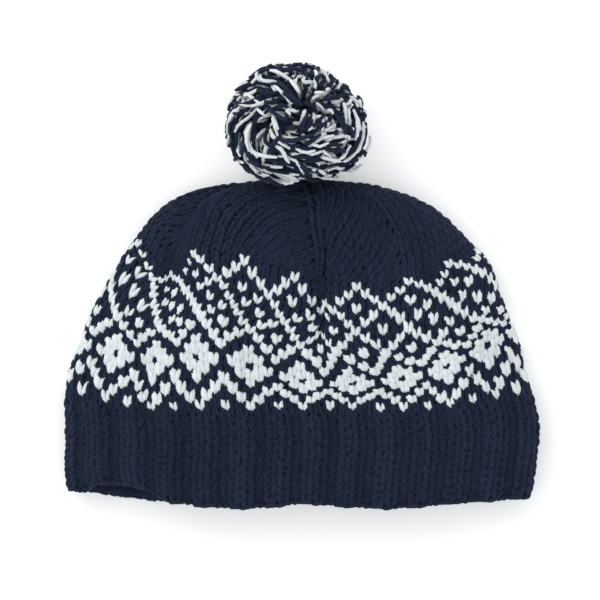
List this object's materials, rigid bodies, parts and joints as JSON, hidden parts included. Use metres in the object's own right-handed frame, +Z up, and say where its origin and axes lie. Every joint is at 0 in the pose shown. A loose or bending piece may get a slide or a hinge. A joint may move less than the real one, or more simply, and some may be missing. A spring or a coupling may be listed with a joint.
{
  "type": "knitted bobble hat",
  "caption": "Knitted beanie lying flat, with a ribbed brim, a stranded two-colour pattern band, a gathered crown and a pom-pom on a yarn tether.",
  "frame": {"origin": "on the surface the hat lies on, at the middle of the hat and pom-pom together", "axes": "+X across the hat, +Y from the cast-on edge to the pom-pom, +Z up off the surface, through both layers"},
  "size_m": [0.2602, 0.245, 0.067],
  "materials": {
    "navy_yarn": "matt wool yarn",
    "white_yarn": "matt wool yarn"
  },
  "bodies": {
    "hat": {"cast_on_edge": "navy_yarn", "rib_brim": "navy_yarn", "rosette_band": "navy_yarn", "trellis_band": "navy_yarn", "contrast_yarn_floats": "white_yarn", "crown": "navy_yarn", "crown_drawstring": "navy_yarn"},
    "tether_tails": {"tether_knot": "navy_yarn"},
    "tether": {"pompom_tether": "navy_yarn"},
    "pompom": {"pompom_navy_strands": "navy_yarn", "pompom_white_strands": "white_yarn", "pompom_tie": "navy_yarn"}
  },
  "joints": [
    {"name": "pompom_swing", "type": "hinge", "parent": "hat", "child": "tether_tails", "pos_m": [0, 0.0574, 0.0095], "axis": [0, 0, 1], "range_deg": [-20, 20]},
    {"name": "pompom_lift", "type": "hinge", "parent": "tether_tails", "child": "tether", "pos_m": [0, 0.0574, 0.0095], "axis": [1, 0, 0], "range_deg": [0, 30]},
    {"name": "pompom_twist", "type": "hinge", "parent": "tether", "child": "pompom", "pos_m": [0, 0.0574, 0.0095], "axis": [0, 0.7982, 0.6024], "range_deg": [-90, 90]}
  ]
}
